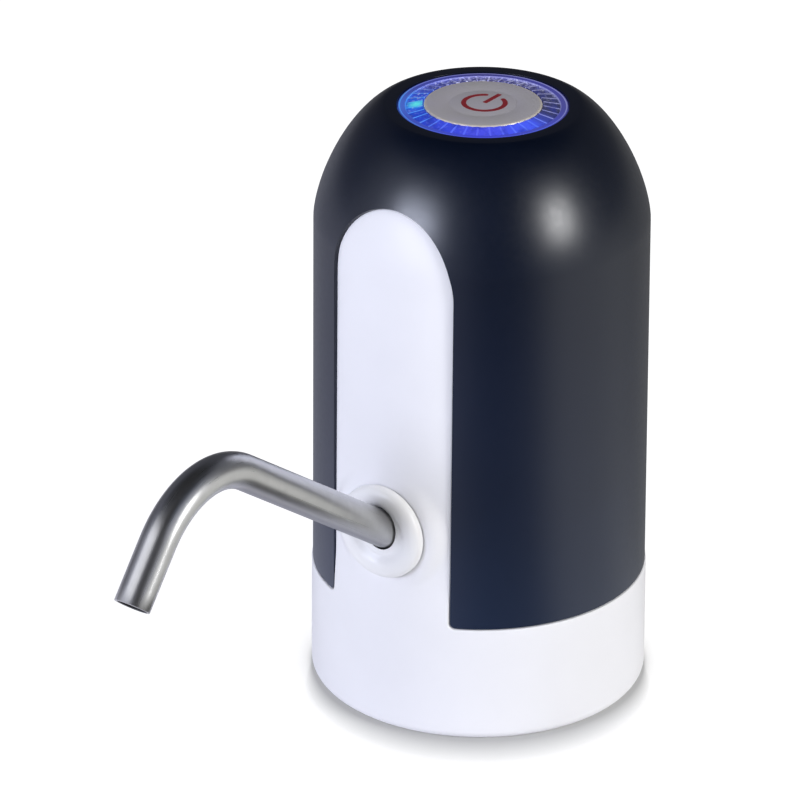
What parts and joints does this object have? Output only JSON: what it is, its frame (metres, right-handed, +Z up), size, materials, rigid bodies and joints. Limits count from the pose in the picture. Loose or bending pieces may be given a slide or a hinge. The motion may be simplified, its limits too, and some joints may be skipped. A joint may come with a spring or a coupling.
{
  "type": "bottled water pump",
  "caption": "Cordless electric pump that sits on a water bottle's neck and draws water up to a curved steel spout, with a lit push button on top.",
  "frame": {"origin": "on the body's axis, in the deck's flat underside, where the bottle's mouth seats", "axes": "+Z up along the body's axis, -Y towards the spout, +X to the right of the spout as seen from the back"},
  "size_m": [0.0732, 0.1611, 0.1325],
  "materials": {
    "shell_navy": "dark navy soft-touch ABS, matte",
    "body_white": "white ABS, satin",
    "deck_white": "white ABS, matte",
    "collar_white": "white ABS, polished",
    "clear_blue": "clear plastic lit blue from below",
    "button_metal": "plated warm grey, satin",
    "steel": "stainless steel, satin",
    "motor_zinc": "zinc-plated can, satin",
    "silicone": "milky silicone, soft",
    "black_rubber": "black rubber, matte",
    "board_green": "green solder mask, satin",
    "cell_wrap": "blue shrink wrap, satin",
    "black_plastic": "black plastic, matte",
    "pump_plastic": "grey plastic, matte",
    "brass": "brass, bright",
    "lamp_blue": "clear lamp resin, gloss",
    "wire_red": "red insulation, satin",
    "wire_black": "black insulation, satin"
  },
  "bodies": {
    "housing": {"outer_shell": "shell_navy", "inner_body": "body_white", "base_deck": "deck_white", "deck_screw_1": "steel", "deck_screw_2": "steel", "deck_screw_3": "steel", "post_screw_1": "steel", "post_screw_2": "steel", "neck_sleeve": "silicone", "spout_collar": "collar_white", "spout_socket": "pump_plastic", "light_ring": "clear_blue", "control_board": "board_green", "board_screw_1": "steel", "board_screw_2": "steel", "tact_switch": "black_plastic", "ring_lamp_1": "lamp_blue", "ring_lamp_2": "lamp_blue", "ring_lamp_3": "lamp_blue", "ring_lamp_4": "lamp_blue", "battery_cell": "cell_wrap", "battery_cup": "black_plastic", "pump_cover": "pump_plastic", "valve_plate": "body_white", "pump_diaphragm": "silicone", "pump_housing": "pump_plastic", "pump_screw_1": "steel", "pump_screw_2": "steel", "pump_screw_3": "steel", "motor_can": "motor_zinc", "motor_end_cap": "black_plastic", "motor_tab_1": "brass", "motor_tab_2": "brass", "cell_bracket": "black_plastic", "charge_port": "steel", "charge_board": "board_green", "charge_chip": "black_plastic", "charge_coil": "black_plastic", "inlet_hose": "silicone", "outlet_hose": "silicone", "cell_wire_red": "wire_red", "cell_wire_black": "wire_black", "motor_wire_red": "wire_red", "motor_wire_black": "wire_black"},
    "button": {"power_button": "button_metal", "switch_plunger": "black_plastic"},
    "spout_seals": {"spout_seal_1": "black_rubber", "spout_seal_2": "black_rubber"},
    "spout": {"spout_tube": "steel"},
    "rotor": {"motor_shaft": "steel", "drive_eccentric": "brass", "wobble_pin": "steel"},
    "wobble": {"wobble_plate": "body_white"}
  },
  "joints": [
    {"name": "button_press", "type": "slide", "parent": "housing", "child": "button", "axis": [0, 0, -1], "range_m": [0, 0.0005], "stiffness_N_per_m": 900, "springref_m": -0.0005},
    {"name": "spout_swivel", "type": "hinge", "parent": "housing", "child": "spout_seals", "pos_m": [0, -0.0374, 0.02413], "axis": [0, -0.8265, 0.5629], "continuous": true},
    {"name": "spout_pull", "type": "slide", "parent": "spout_seals", "child": "spout", "axis": [0, -0.8265, 0.5629], "range_m": [0, 0.021]},
    {"name": "rotor_spin", "type": "hinge", "parent": "housing", "child": "rotor", "pos_m": [0.013, 0.009, 0.0422], "axis": [0, 0, 1], "continuous": true},
    {"name": "wobble_turn", "type": "hinge", "parent": "rotor", "child": "wobble", "pos_m": [0.013, 0.009, 0.0362], "axis": [0.2079, 0, 0.9781], "continuous": true, "deforming": ["pump_diaphragm"]}
  ],
  "couplings": [
    {"joint": "wobble_turn", "follows": "rotor_spin", "ratio": -1}
  ]
}
